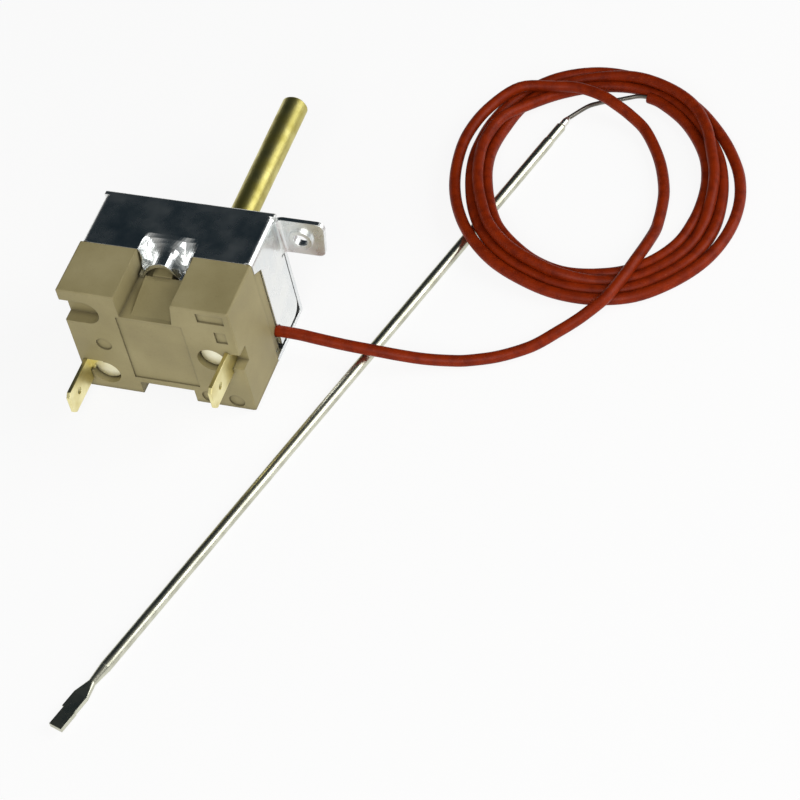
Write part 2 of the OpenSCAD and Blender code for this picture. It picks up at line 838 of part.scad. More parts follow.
module push_pin() {
    pin_r = pin_dia / 2;
    nose_angle = 60;
    color([0.93, 0.92, 0.88])
        turned()
            polygon(concat([for (a = steps(0, nose_angle, 6))
                                [pin_r * sin(a) / sin(nose_angle), arm_top_y + pin_r * (1 - cos(a))]],
                           [[pin_r, button_low], [0, button_low]]));
}

// Plate that closes the switch chamber and guides the pin
module pin_guide_plate() {
    color([0.45, 0.3, 0.2])
        difference() {
            union() {
                for (room = [[chamber_left, chamber_top], [bay_left, bay_top]])
                    block(room[0] - plate_lap, chamber_right + plate_lap, plate_y - plate_t, plate_y,
                          chamber_bottom - plate_lap, room[1] + plate_lap);
                drill(0, 0, boss_r, boss_low, plate_y - plate_t + weld);
            }
            drill(0, 0, pin_dia / 2 + running_play, boss_low - play, plate_y + play);
            drill_exit();
        }
}

// Lever of the switch: a sprung copper strip that rocks on the lug of the common terminal
module contact_arm() {
    color([0.76, 0.5, 0.3])
        in_arm_frame()
            difference() {
                union() {
                    block(pivot_s, arm_tip_s - arm_w / 2, arm_low_y, arm_top_y, -arm_w / 2, arm_w / 2);
                    drill(arm_tip_s - arm_w / 2, 0, arm_w / 2, arm_low_y, arm_top_y);
                    translate([pivot_s, arm_top_y - arm_t / 2, -arm_w / 2])
                        cylinder(r = arm_t / 2, h = arm_w);
                }
                block(pivot_s + arm_slot_end, -arm_slot_end, arm_low_y - play, arm_top_y + play,
                      -arm_w / 8, arm_w / 8);
            }
}

module moving_contact() {
    color([0.86, 0.87, 0.88])
        in_arm_frame()
            drill(contact_s, 0, contact_r, arm_top_y, arm_top_y + contact_h);
}

module fixed_contact() {
    color([0.86, 0.87, 0.88])
        in_arm_frame()
            drill(contact_s, 0, contact_r, fixed_leg_y - contact_h, fixed_leg_y);
}

// Coil spring under the arm
spring_r = 2;
wire_r = 0.22;
spring_turns = 4;
spring_steps = 11;
module return_spring() {
    low = wall_y + wire_r;
    high = arm_low_y - wire_r;
    n = spring_turns * spring_steps;
    color([0.55, 0.56, 0.58])
        tube([for (i = [0 : n])
                let (a = 360 * i / spring_steps)
                [spring_r * cos(a), low + (high - low) * i / n, spring_r * sin(a)]], wire_r, 6, [0, 1, 0]);
}

module blade(x, z) {
    tip = 0.9;
    difference() {
        translate([x, 0, 0])
            rotate([90, 0, 90])
                linear_extrude(height = blade_t)
                    polygon([[foot_y, z], [face_y - blade_out + tip, z], [face_y - blade_out, z + tip],
                             [face_y - blade_out, z + blade_w - tip],
                             [face_y - blade_out + tip, z + blade_w], [foot_y, z + blade_w]]);
        translate([x - play, face_y - blade_out * 0.6, z + blade_w / 2])
            rotate([0, 90, 0])
                cylinder(r = 0.8, h = blade_t + 2 * play);
    }
}

// Terminal of the contact arm: blade, riveted foot and a grooved lug for the arm
module common_terminal() {
    color([0.8, 0.66, 0.3])
        difference() {
            union() {
                blade(common_x, common_z);
                block(common_x, common_well[0] + foot_tail, wall_y, foot_y, common_z, common_z + blade_w);
                block(common_x, common_well[0], face_y + foot_sunk, face_y + foot_sunk + blade_t,
                      common_z + blade_w - foot_h, common_z + blade_w);
                in_arm_frame()
                    block(pivot_s - 0.2 - lug_t, pivot_s - 0.2 + groove_deep, wall_y, arm_top_y + 1.4,
                          -arm_w / 2 - 0.2, arm_w / 2);
            }
            in_arm_frame()
                block(pivot_s - 0.2, pivot_s + groove_deep, arm_low_y - groove_gap, arm_top_y + groove_gap,
                      -arm_w, arm_w);
            drill(common_well[0], common_well[1], rivet_r + slot_gap, wall_y - play, foot_y + play);
            drill(common_well[0], common_well[1], rivet_head_r + slot_gap, face_y, face_y + well_depth);
        }
}

// Terminal of the fixed contact: blade, riveted foot, riser and a leg over the arm
module output_terminal() {
    color([0.8, 0.66, 0.3])
        difference() {
            union() {
                blade(output_x, output_z);
                block(output_well[0] - rivet_tail_r, output_x + blade_t, wall_y, foot_y,
                      output_z, output_z + blade_w);
                block(output_x, output_x + blade_t, wall_y, foot_y, output_z, riser_low + riser_h);
                block(output_x, output_x + blade_t, wall_y, fixed_leg_y + blade_t, riser_low,
                      riser_low + riser_h);
                block(contact_x - contact_r - 0.6, output_x + blade_t, fixed_leg_y,
                      fixed_leg_y + blade_t, riser_low, riser_low + riser_h);
            }
            drill(output_well[0], output_well[1], rivet_r + slot_gap, wall_y - play, foot_y + play);
        }
}

module rivet(at) {
    color([0.85, 0.75, 0.45])
        union() {
            drill(at[0], at[1], rivet_head_r, face_y + well_depth - rivet_head, face_y + well_depth);
            drill(at[0], at[1], rivet_r, face_y + well_depth - weld, foot_y + weld);
            drill(at[0], at[1], rivet_tail_r, foot_y, foot_y + rivet_tail);
        }
}

module common_rivet() {
    rivet(common_well);
}

module output_rivet() {
    rivet(output_well);
}

module sleeve_lead() {
    color([0.55, 0.14, 0.06])
        tube(lead_points, sleeve_dia / 2, lead_sides);
}

module coil_outline() {
    for (s = [-1, 1])
        translate([s * coil_shift, 0])
            circle(r = coil_r);
    translate([-coil_shift, -coil_r])
        square([2 * coil_shift, 2 * coil_r]);
}

// Outer shape of the coil, with a clear way for the bulb that lies under it
module sleeve_coil() {
    way = bulb_dia + 2 * channel_play;
    color([0.5, 0.12, 0.05])
        difference() {
            translate([coil_x, coil_y, coil_z])
                difference() {
                    rotate([0, 0, coil_angle])
                        linear_extrude(height = coil_h)
                            coil_outline();
                    translate([coil_hole_x, 0, -play])
                        cylinder(r = coil_hole_r, h = coil_h + 2 * play);
                }
            translate([bulb_x, bulb_y, bottom - play])
                rotate([0, 0, bulb_angle])
                    translate([0, -way / 2, 0])
                        cube([bulb_end, way, way]);
        }
}

module on_bulb_axis(s) {
    translate([bulb_x, bulb_y, bottom + bulb_dia / 2])
        rotate([0, 0, bulb_angle])
            translate([s, 0, 0])
                rotate([0, 90, 0])
                    children();
}

module bare_capillary() {
    color([0.2, 0.19, 0.18])
        tube(capillary_points, capillary_dia / 2, 8);
}

module bulb_braze() {
    color([0.85, 0.85, 0.8])
        on_bulb_axis(bulb_len)
            rotate_extrude()
                polygon([[0, 0], [braze_r, 0], [braze_r, braze_len * 0.6],
                         [capillary_dia / 2 + 0.05, braze_len], [0, braze_len]]);
}

// Bulb: a long tube, necked and pressed flat at the closed end
module sensing_bulb() {
    r = bulb_dia / 2;
    color([0.72, 0.72, 0.68])
        union() {
            on_bulb_axis(0)
                rotate_extrude()
                    polygon([[0, 0], [r, 0], [r, bulb_len - cap_len - 0.6], [r - 0.12, bulb_len - cap_len],
                             [r - 0.12, bulb_len - 0.5], [r - 0.5, bulb_len], [0, bulb_len]]);
            bulb_neck(r);
            bulb_tip();
        }
}

module bulb_neck(r) {
    hull() {
        on_bulb_axis(-neck_len * 0.55)
            cylinder(r = r * 0.66, h = 0.2, $fn = 24);
        on_bulb_axis(0)
            cylinder(r = r - 0.02, h = 0.2, $fn = 24);
    }
    hull() {
        on_bulb_axis(-neck_len * 0.55)
            cylinder(r = r * 0.66, h = 0.2, $fn = 24);
        on_bulb_axis(-neck_len)
            translate([-tip_t / 2, -tip_w / 2, 0])
                cube([tip_t, tip_w, 0.2]);
    }
}

module bulb_tip() {
    on_bulb_axis(-neck_len - tip_len)
        translate([-tip_t / 2, 0, 0]) {
            translate([0, -tip_w / 2, tip_len * 0.55])
                cube([tip_t, tip_w, tip_len * 0.45 + weld]);
            translate([0, -tip_w / 2 - 0.15, 0])
                cube([tip_t, tip_w * 0.92, tip_len * 0.55 + weld]);
        }
}

switch_base();
steel_cover();
spindle_bush();
spindle();
stop_washer();
retaining_ring();
upper_guide();
lower_guide();
feed_nut();
capsule_back();
capsule_membrane();
thrust_button();
capillary_tail();
push_pin();
pin_guide_plate();
contact_arm();
moving_contact();
return_spring();
common_terminal();
output_terminal();
fixed_contact();
common_rivet();
output_rivet();
sleeve_lead();
sleeve_coil();
bare_capillary();
bulb_braze();
sensing_bulb();
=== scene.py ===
"""Capillary thermostat, dressed for its picture.

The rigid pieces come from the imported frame. This script adds the camera, the light, the free sleeve and
capillary, and the finish of every surface. All lengths are in metres unless a name or a docstring says
millimetres. They are in the frame of the part, where +Y runs along the spindle and +Z is up.
"""
import logging
import math
from dataclasses import dataclass, field
from enum import Enum

import bpy
from mathutils import Matrix, Vector

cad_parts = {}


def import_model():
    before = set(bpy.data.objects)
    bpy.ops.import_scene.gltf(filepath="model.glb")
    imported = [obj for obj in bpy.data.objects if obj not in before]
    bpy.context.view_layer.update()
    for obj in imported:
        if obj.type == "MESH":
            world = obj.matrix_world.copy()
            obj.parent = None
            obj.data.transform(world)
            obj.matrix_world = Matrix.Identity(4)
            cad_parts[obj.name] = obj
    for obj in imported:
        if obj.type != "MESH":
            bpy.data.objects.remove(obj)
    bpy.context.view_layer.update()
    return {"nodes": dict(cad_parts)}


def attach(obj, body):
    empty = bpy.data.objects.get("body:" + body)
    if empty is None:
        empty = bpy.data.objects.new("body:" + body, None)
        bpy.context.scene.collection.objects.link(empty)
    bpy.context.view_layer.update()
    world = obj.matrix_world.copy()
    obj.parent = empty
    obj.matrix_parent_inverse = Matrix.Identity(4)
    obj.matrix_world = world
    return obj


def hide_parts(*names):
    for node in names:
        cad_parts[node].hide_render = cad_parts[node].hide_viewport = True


LOG = logging.getLogger("thermostat")
MM = 0.001
FLOOR = -16.5 * MM
SMOOTH_STEPS = 6
Rgb = tuple[float, float, float]
Point = tuple[float, float, float]


def srgb(r: int, g: int, b: int) -> Rgb:
    """Turns a colour as it is seen on a screen into the linear one that the shader needs.

    Args:
        r: Red, 0 to 255.
        g: Green, 0 to 255.
        b: Blue, 0 to 255.

    Returns:
        The linear colour.
    """

    def one(v: int) -> float:
        """Linear value of one channel."""
        c = v / 255
        return c / 12.92 if c <= 0.04045 else ((c + 0.055) / 1.055) ** 2.4

    return one(r), one(g), one(b)


class Axis(Enum):
    """A direction along which a surface was drawn, rolled or turned."""

    X = 0
    Y = 1
    Z = 2


def set_range(node: bpy.types.Node, start: float, end: float, low: float, high: float) -> None:
    """Sets what a Map Range node does.

    Args:
        node: The node.
        start: Value that becomes low.
        end: Value that becomes high.
        low: Result at start.
        high: Result at end.
    """
    for name, value in (("From Min", start), ("From Max", end), ("To Min", low), ("To Max", high)):
        node.inputs[name].default_value = value


class NodeTree:
    """A material's node tree, with short ways to add what the finishes need."""

    def __init__(self, name: str) -> None:
        """Makes an empty material with a Principled shader.

        Args:
            name: The material's name.
        """
        self.material = bpy.data.materials.new(name)
        self.material.use_nodes = True
        self.tree = self.material.node_tree
        self.shader = self.tree.nodes["Principled BSDF"]
        self.place = self.tree.nodes.new("ShaderNodeTexCoord").outputs["Object"]

    def set(self, **sockets: float | Rgb) -> None:
        """Sets sockets of the shader that are the same all over.

        Args:
            **sockets: Socket names with underscores for spaces, and their values.
        """
        for name, value in sockets.items():
            socket = self.shader.inputs[name.replace("_", " ")]
            socket.default_value = (*value, 1.0) if isinstance(value, tuple) else value

    def stretched(self, scale: Point) -> bpy.types.NodeSocket:
        """Object coordinates, scaled by axis, so that a noise runs along one of them.

        Args:
            scale: Factor along X, Y and Z.

        Returns:
            The vector's socket.
        """
        mapping = self.tree.nodes.new("ShaderNodeMapping")
        mapping.inputs["Scale"].default_value = scale
        self.tree.links.new(self.place, mapping.inputs["Vector"])
        return mapping.outputs["Vector"]

    def noise(self, scale: float, detail: float,
              vector: bpy.types.NodeSocket | None = None) -> bpy.types.NodeSocket:
        """Adds a noise.

        Args:
            scale: Waves in a metre.
            detail: Number of finer octaves.
            vector: Coordinates, or the object's own.

        Returns:
            The socket of its factor, from 0 to 1.
        """
        node = self.tree.nodes.new("ShaderNodeTexNoise")
        node.inputs["Scale"].default_value = scale
        node.inputs["Detail"].default_value = detail
        self.tree.links.new(vector or self.place, node.inputs["Vector"])
        return node.outputs["Fac"]

    def ramp(self, factor: bpy.types.NodeSocket, stops: list[tuple[float, Rgb]]) -> bpy.types.NodeSocket:
        """Adds a colour ramp.

        Args:
            factor: What drives it.
            stops: Positions and colours.

        Returns:
            The colour's socket.
        """
        node = self.tree.nodes.new("ShaderNodeValToRGB")
        elements = node.color_ramp.elements
        while len(elements) < len(stops):
            elements.new(0.5)
        for element, (position, colour) in zip(elements, stops):
            element.position = position
            element.color = (*colour, 1.0)
        self.tree.links.new(factor, node.inputs["Fac"])
        return node.outputs["Color"]

    def remap(self, factor: bpy.types.NodeSocket, low: float, high: float, start: float = 0.3,
              end: float = 0.7) -> bpy.types.NodeSocket:
        """Turns a factor into a value between two limits.

        Args:
            factor: What drives it.
            low: Value where the factor is start.
            high: Value where the factor is end.
            start: Low end of the factor.
            end: High end of the factor.

        Returns:
            The value's socket.
        """
        node = self.tree.nodes.new("ShaderNodeMapRange")
        set_range(node, start, end, low, high)
        self.tree.links.new(factor, node.inputs["Value"])
        return node.outputs["Result"]

    def mix(self, factor: bpy.types.NodeSocket | float, a: bpy.types.NodeSocket | Rgb,
            b: bpy.types.NodeSocket | Rgb) -> bpy.types.NodeSocket:
        """Mixes two colours.

        Args:
            factor: Share of the second colour.
            a: First colour.
            b: Second colour.

        Returns:
            The colour's socket.
        """
        node = self.tree.nodes.new("ShaderNodeMix")
        node.data_type = "RGBA"
        for index, value in ((0, factor), (6, a), (7, b)):
            if isinstance(value, bpy.types.NodeSocket):
                self.tree.links.new(value, node.inputs[index])
            else:
                node.inputs[index].default_value = (*value, 1.0) if isinstance(value, tuple) else value
        return node.outputs[2]

    def bump(self, height: bpy.types.NodeSocket, distance: float, strength: float) -> None:
        """Adds a bump to the shader, on top of any bump that it has.

        Args:
            height: The height's socket.
            distance: Its depth in metres.
            strength: Its strength.
        """
        node = self.tree.nodes.new("ShaderNodeBump")
        node.inputs["Distance"].default_value = distance
        node.inputs["Strength"].default_value = strength
        self.tree.links.new(height, node.inputs["Height"])
        normal = self.shader.inputs["Normal"]
        if normal.is_linked:
            self.tree.links.new(normal.links[0].from_socket, node.inputs["Normal"])
        self.tree.links.new(node.outputs["Normal"], normal)

    def soften(self, radius: float) -> None:
        """Rounds the look of edges.

        Args:
            radius: Radius of the rounding in metres.
        """
        node = self.tree.nodes.new("ShaderNodeBevel")
        node.samples = 6
        node.inputs["Radius"].default_value = radius
        self.tree.links.new(node.outputs["Normal"], self.shader.inputs["Normal"])

    def painted_shade(self, unshaded: bpy.types.NodeSocket, shade_colour: Rgb, reach: float) -> bpy.types.NodeSocket:
        """Paints shade into a colour in corners and recesses, by ambient occlusion.

        Args:
            unshaded: The colour on open surfaces, outside the painted shade.
            shade_colour: The colour of the painted shade deep in a recess.
            reach: How far a recess reaches, in metres.

        Returns:
            The colour's socket.
        """
        node = self.tree.nodes.new("ShaderNodeAmbientOcclusion")
        node.samples = 8
        node.inputs["Distance"].default_value = reach
        return self.mix(node.outputs["AO"], shade_colour, unshaded)

    def colour(self, source: bpy.types.NodeSocket) -> None:
        """Links the shader's base colour."""
        self.tree.links.new(source, self.shader.inputs["Base Color"])

    def gloss(self, source: bpy.types.NodeSocket) -> None:
        """Links the shader's roughness."""
        self.tree.links.new(source, self.shader.inputs["Roughness"])


@dataclass(frozen=True)
class MouldedPlastic:
    """Matt moulded thermoset: speckled and mottled, with painted shade in its recesses and an orange-peel
    skin.
    """

    name: str
    base: Rgb
    dark: Rgb
    pale: Rgb
    roughness: float = 0.55
    # Colour and reach of the painted shade that ambient occlusion puts into recesses.
    painted_shade: Rgb = (0.02, 0.015, 0.008)
    painted_shade_reach: float = 1.6 * MM
    cloud_scale: float = 90.0
    fleck_scale: float = 2600.0
    fleck_share: float = 0.35
    skin_scale: float = 1500.0
    skin_depth: float = 0.03 * MM
    edge_radius: float = 0.25 * MM

    def build(self) -> bpy.types.Material:
        """Makes the material.

        Returns:
            The material.
        """
        look = NodeTree(self.name)
        cloud = look.noise(self.cloud_scale, 4)
        body = look.ramp(cloud, [(0.35, self.dark), (0.52, self.base), (0.7, self.pale)])
        fleck = look.ramp(look.noise(self.fleck_scale, 2), [(0.3, self.dark), (0.42, self.base)])
        # Painted shade: ambient occlusion darkens the speckled colour in corners and recesses.
        look.colour(look.painted_shade(look.mix(self.fleck_share, body, fleck), self.painted_shade, self.painted_shade_reach))
        look.gloss(look.remap(cloud, self.roughness - 0.08, self.roughness + 0.1))
        look.set(Specular_IOR_Level=0.4)
        look.soften(self.edge_radius)
        look.bump(look.noise(self.skin_scale, 3), self.skin_depth, 0.5)
        return look.material


@dataclass(frozen=True)
class PlatedSheet:
    """Zinc-plated sheet: bright and slightly wavy, with rolling lines and faint spangle."""

    name: str
    base: Rgb
    dull: Rgb
    grain: Axis = Axis.X
    roughness: float = 0.2
    line_scale: float = 900.0
    line_stretch: float = 40.0
    line_depth: float = 0.02 * MM
    spangle_scale: float = 160.0
    wave_scale: float = 70.0
    wave_depth: float = 0.2 * MM
    edge_radius: float = 0.2 * MM

    def build(self) -> bpy.types.Material:
        """Makes the material.

        Returns:
            The material.
        """
        look = NodeTree(self.name)
        scale = [self.line_scale] * 3
        scale[self.grain.value] = self.line_stretch
        lines = look.noise(1.0, 3, look.stretched(tuple(scale)))
        spangle = look.noise(self.spangle_scale, 4)
        look.colour(look.ramp(spangle, [(0.3, self.dull), (0.6, self.base)]))
        look.gloss(look.remap(spangle, self.roughness, self.roughness + 0.14))
        look.set(Metallic=1.0)
        look.soften(self.edge_radius)
        look.bump(look.noise(self.wave_scale, 2), self.wave_depth, 0.25)
        look.bump(lines, self.line_depth, 0.4)
        return look.material


@dataclass(frozen=True)
class RolledMetal:
    """Bare metal that was rolled, drawn or turned: stained, with fine lines along or around it."""

    name: str
    base: Rgb
    stain: Rgb
    line_scale: Point
    roughness: float = 0.25
    line_depth: float = 0.01 * MM
    stain_scale: float = 240.0
    edge_radius: float = 0.15 * MM

    def build(self) -> bpy.types.Material:
        """Makes the material.

        Returns:
            The material.
        """
        look = NodeTree(self.name)
        lines = look.noise(1.0, 4, look.stretched(self.line_scale))
        stain = look.noise(self.stain_scale, 4)
        body = look.ramp(stain, [(0.35, self.stain), (0.6, self.base)])
        look.colour(look.mix(look.remap(lines, 0.0, 0.3), body, self.stain))
        look.gloss(look.remap(stain, self.roughness + 0.12, self.roughness))
        look.set(Metallic=1.0)
        look.soften(self.edge_radius)
        look.bump(lines, self.line_depth, 0.5)
        return look.material


@dataclass(frozen=True)
class SiliconeRubber:
    """Silicone rubber sleeve: satin, mottled, with a fine grain and specks of dust."""

    name: str
    base: Rgb
    dark: Rgb
    dust: Rgb
    mottle_scale: float = 420.0
    dust_scale: float = 3000.0
    dust_share: float = 0.5
    skin_scale: float = 2400.0
    skin_depth: float = 0.02 * MM

    def build(self) -> bpy.types.Material:
        """Makes the material.

        Returns:
            The material.
        """
        look = NodeTree(self.name)
        mottle = look.noise(self.mottle_scale, 4)
        bare, dusty = (0.0, 0.0, 0.0), (self.dust_share,) * 3
        specks = look.ramp(look.noise(self.dust_scale, 2), [(0.62, bare), (0.78, dusty)])
        body = look.ramp(mottle, [(0.3, self.dark), (0.6, self.base)])
        look.colour(look.mix(specks, body, self.dust))
        look.gloss(look.remap(mottle, 0.5, 0.4))
        look.set(Specular_IOR_Level=0.14)
        look.bump(look.noise(self.skin_scale, 3), self.skin_depth, 0.5)
        return look.material


BEIGE = MouldedPlastic("beige_thermoset", srgb(152, 141, 101), srgb(138, 127, 88), srgb(165, 154, 115))
BROWN = MouldedPlastic("brown_thermoset", srgb(92, 66, 46), srgb(70, 48, 32), srgb(112, 84, 60))
CERAMIC = MouldedPlastic("ceramic", srgb(236, 230, 214), srgb(214, 206, 186), srgb(246, 242, 232), 0.6)
ZINC = PlatedSheet("zinc_plated", (0.90, 0.91, 0.89), (0.76, 0.79, 0.80))
TURNED = RolledMetal("turned_brass", (0.66, 0.60, 0.22), (0.46, 0.40, 0.10), (300.0, 2500.0, 300.0), 0.33)
BLADE = RolledMetal("rolled_brass", (0.93, 0.86, 0.48), (0.78, 0.69, 0.32), (900.0, 60.0, 900.0), 0.28)
RIVET = RolledMetal("rivet_brass", (0.99, 0.97, 0.78), (0.92, 0.87, 0.62), (800.0, 800.0, 800.0), 0.4)
PLAIN = RolledMetal("plain_steel", (0.60, 0.60, 0.60), (0.42, 0.42, 0.42), (900.0, 900.0, 900.0), 0.35)
SPRING = RolledMetal("spring_steel", (0.30, 0.30, 0.31), (0.18, 0.18, 0.18), (900.0, 900.0, 900.0), 0.35)
STAINLESS = RolledMetal("stainless", (0.68, 0.67, 0.64), (0.52, 0.51, 0.48), (1400.0, 100.0, 1400.0), 0.28)
COPPER = RolledMetal("spring_copper", (0.80, 0.52, 0.34), (0.62, 0.36, 0.20), (60.0, 900.0, 900.0), 0.3)
SILVER = RolledMetal("silver", (0.88, 0.88, 0.88), (0.74, 0.74, 0.74), (900.0, 900.0, 900.0), 0.25)
BULB = RolledMetal("bulb_tube", (0.68, 0.68, 0.56), (0.47, 0.47, 0.37), (700.0, 120.0, 700.0), 0.24)
BRAZE = RolledMetal("braze", (0.86, 0.85, 0.80), (0.66, 0.64, 0.56), (1500.0, 1500.0, 1500.0), 0.22,
                    line_depth=0.04 * MM)
DRAWN = RolledMetal("drawn_tube", (0.26, 0.25, 0.22), (0.14, 0.13, 0.11), (900.0, 900.0, 900.0), 0.3)
SILICONE = SiliconeRubber("silicone", srgb(133, 39, 4), srgb(107, 27, 2), srgb(165, 84, 50))

NODE_FINISH = {
    "switch_base": BEIGE, "pin_guide_plate": BROWN, "push_pin": CERAMIC, "steel_cover": ZINC,
    "spindle": TURNED, "spindle_bush": TURNED, "feed_nut": TURNED,
    "common_terminal": BLADE, "output_terminal": BLADE, "common_rivet": RIVET, "output_rivet": RIVET,
    "stop_washer": PLAIN, "upper_guide": PLAIN, "lower_guide": PLAIN, "thrust_button": PLAIN,
    "retaining_ring": SPRING, "return_spring": SPRING,
    "capsule_back": STAINLESS, "capsule_membrane": STAINLESS, "capillary_tail": DRAWN,
    "contact_arm": COPPER, "moving_contact": SILVER, "fixed_contact": SILVER,
    "sensing_bulb": BULB, "bulb_braze": BRAZE,
}


def catmull(points: list[Vector], steps: int) -> list[Vector]:
    """Puts a smooth line through points.

    Args:
        points: The points it passes.
        steps: Steps between two of them.

    Returns:
        The points of the line.
    """
    line: list[Vector] = []
    last = len(points) - 1
    for i in range(last):
        a, b = points[max(i - 1, 0)], points[i]
        c, d = points[i + 1], points[min(i + 2, last)]
        for k in range(steps):
            t = k / steps
            line.append(0.5 * ((2 * b) + (c - a) * t + (2 * a - 5 * b + 4 * c - d) * t * t
                               + (3 * b - a - 3 * c + d) * t * t * t))
    line.append(points[-1])
    return line


def length_of(line: list[Vector]) -> float:
    """Length of a line of points."""
    return sum((b - a).length for a, b in zip(line, line[1:]))


def round_curve(name: str, line: list[Vector], radius: float) -> bpy.types.Object:
    """Makes a round cord as a curve of one open spline.

    Args:
        name: Name of the piece.
        line: Its centreline.
        radius: Its radius.

    Returns:
        The curve object.
    """
    data = bpy.data.curves.new(name, "CURVE")
    data.dimensions = "3D"
    data.bevel_depth = radius
    data.bevel_resolution = 5
    data.use_fill_caps = True
    spline = data.splines.new("POLY")
    spline.points.add(len(line) - 1)
    for point, place in zip(spline.points, line):
        point.co = (*place, 1.0)
    spline.use_smooth = True
    piece = bpy.data.objects.new(name, data)
    bpy.context.scene.collection.objects.link(piece)
    return piece


@dataclass
class PhotoCamera:
    """The camera of the photograph, found from the corners of the switch head."""

    place: Point = (0.24822, -0.38519, 0.46241)
    right: Point = (0.93574, 0.31499, -0.15866)
    up: Point = (-0.14631, 0.75601, 0.638)
    back: Point = (0.32091, -0.57379, 0.75351)
    lens: float = 135.0
    sensor: float = 36.0
    nearest: float = 0.01

    def build(self) -> None:
        """Makes the camera and hands it to the scene."""
        data = bpy.data.cameras.new("photo_camera")
        data.lens = self.lens
        data.sensor_width = self.sensor
        data.sensor_fit = "HORIZONTAL"
        data.clip_start = self.nearest
        camera = bpy.data.objects.new("photo_camera", data)
        turn = Matrix((self.right, self.up, self.back)).transposed().to_4x4()
        camera.matrix_world = Matrix.Translation(self.place) @ turn
        bpy.context.scene.collection.objects.link(camera)
        bpy.context.scene.camera = camera


@dataclass
class SleevedCapillary:
    """The sleeve from the switch head to its cut end in the coil, and the bare capillary after it.

    The points of lead, loop and tail and the measures of the coil are in millimetres. The coil runs around a
    mean oval. Its list says, at each step, how far the sleeve's centre lies outside that oval and how high it
    lies above the floor, with a quarter of a turn in each row. The pairs were set from where the
    strands lie in the photograph. A strand on the floor is 1.3 high and one on top of another is 3.9 high.
    """

    sleeve_dia: float = 2.6 * MM
    capillary_dia: float = 1.0 * MM
    exit: Point = (14.6 * MM, -12.0 * MM, -10.1 * MM)
    centre: tuple[float, float] = (68.7, 45.3)
    mean_radius: float = 32.4
    oval: float = 2.6
    oval_angle: float = 130.0
    first_angle: float = 135.0
    step_angle: float = 15.0
    end_angle: float = 1522.0
    hidden_points: int = 3
    lead: list[Point] = field(default_factory=lambda: [
        (12.6, -12.0, -10.1), (14.6, -12.0, -10.1), (17.3, -12.0, -10.15), (20, -12.0, -10.3),
        (24, -12.1, -10.7), (30, -12.0, -11.5), (36, -11.8, -12.1), (42, -11.2, -13.2),
        (47, -10.3, -14.3), (52, -9.2, -15.0), (56, -8.2, -15.2), (62, -5.9, -15.2), (68, -2.0, -15.2),
        (73, 3.0, -14.6), (76, 5.8, -13.8), (78, 7.9, -13.1), (80, 10.6, -12.6)])
    loop: list[Point] = field(default_factory=lambda: [
        (81.2, 13.1, -12.5), (82.9, 18.8, -12.6), (84.3, 24.3, -12.5), (85.1, 30.3, -13.6),
        (85.2, 36.3, -15.2), (84.7, 42.5, -15.2), (83.7, 47.6, -15.2), (81.3, 54.0, -15.2),
        (78.2, 59.6, -15.2), (74.5, 64.5, -14.9), (70.5, 67.4, -14.1), (67.3, 68.9, -13.1),
        (63.4, 70.8, -12.6), (59.1, 72.2, -12.6), (55.6, 72.6, -12.6), (51.6, 72.1, -12.6)])
    coil: list[tuple[float, float]] = field(default_factory=lambda: [
        (0.6, 3.9), (0.6, 3.9), (0.4, 3.9), (0.2, 3.9), (0.5, 3.9), (0.8, 3.9),
        (0.95, 3.9), (0.5, 3.1), (-0.5, 2.2), (-0.9, 1.6), (-1, 1.3), (-0.7, 1.3),
        (-0.9, 1.3), (-0.5, 1.3), (0, 1.3), (0.6, 1.3), (1, 1.3), (1, 1.3),
        (1.1, 1.3), (1.5, 1.3), (1.8, 1.3), (2, 1.3), (2.4, 1.3), (2, 1.3),
        (0.6, 1.3), (-1, 1.3), (-2.6, 2.2), (-3.3, 3.6), (-3.1, 3.9), (-2.4, 3.9),
        (-1.8, 3.9), (-2.1, 3.1), (-3.1, 2.2), (-3.5, 1.6), (-3.6, 1.3), (-3.3, 1.3),
        (-3.5, 1.3), (-3.2, 1.3), (-3.3, 1.3), (-3.3, 1.3), (-2.7, 1.3), (-1.9, 1.3),
        (-1.5, 1.3), (-1.1, 1.3), (-0.8, 1.3), (-1.2, 1.3), (-2.3, 1.3), (-3.2, 1.4),
        (-4.4, 2.7), (-4, 3.9), (-4.4, 4.3), (-5.1, 5.5), (-4.9, 5.8), (-4.4, 5.8),
        (-3.6, 5.8), (-3.9, 4.9), (-4.7, 4.2), (-5.1, 3.4), (-5.8, 2), (-5.9, 1.3),
        (-6.1, 1.3), (-5.9, 1.3), (-5.9, 1.5), (-5.5, 2.8), (-4.4, 3.3), (-3.3, 3.5),
        (-1.4, 3.9), (0.2, 3.7), (0.5, 3.6), (0.4, 3.3), (0.1, 2), (-0.5, 1.3),
        (-2.3, 1.3), (-4.8, 1.3), (-6.2, 2.3), (-6.9, 3.6), (-6.8, 3.9), (-6.2, 3.9),
        (-5.5, 3.9), (-5.8, 3.1), (-6.3, 2.2), (-7.1, 1.6), (-8.2, 1.3), (-8.5, 1.3),
        (-8.7, 1.3), (-8.6, 1.3), (-8.5, 1.3), (-7.6, 1.3), (-6.2, 1.3), (-4.9, 1.3),
        (-4, 1.3), (-3.2, 1.3), (-2.6, 1.3)])
    tail: list[Point] = field(default_factory=lambda: [
        (70.3, 74.8, -15.4), (68.0, 74.2, -15.7), (65.8, 73.4, -15.9), (63.6, 72.6, -15.9),
        (61.4, 71.3, -15.7), (59.4, 69.6, -15.5), (56.35, 65.2, -15.25)])

    def coil_point(self, angle: float, offset: float, height: float) -> Vector:
        """A point of the coil's centreline.

        Args:
            angle: Turned angle from +X, in degrees.
            offset: Millimetres outward from the mean oval.
            height: Millimetres above the floor.

        Returns:
            The point, in metres.
        """
        bulge = self.oval * math.cos(math.radians(2 * (angle - self.oval_angle)))
        radius = self.mean_radius + bulge + offset
        a = math.radians(angle)
        return Vector((self.centre[0] + radius * math.cos(a), self.centre[1] + radius * math.sin(a),
                       FLOOR / MM + height)) * MM

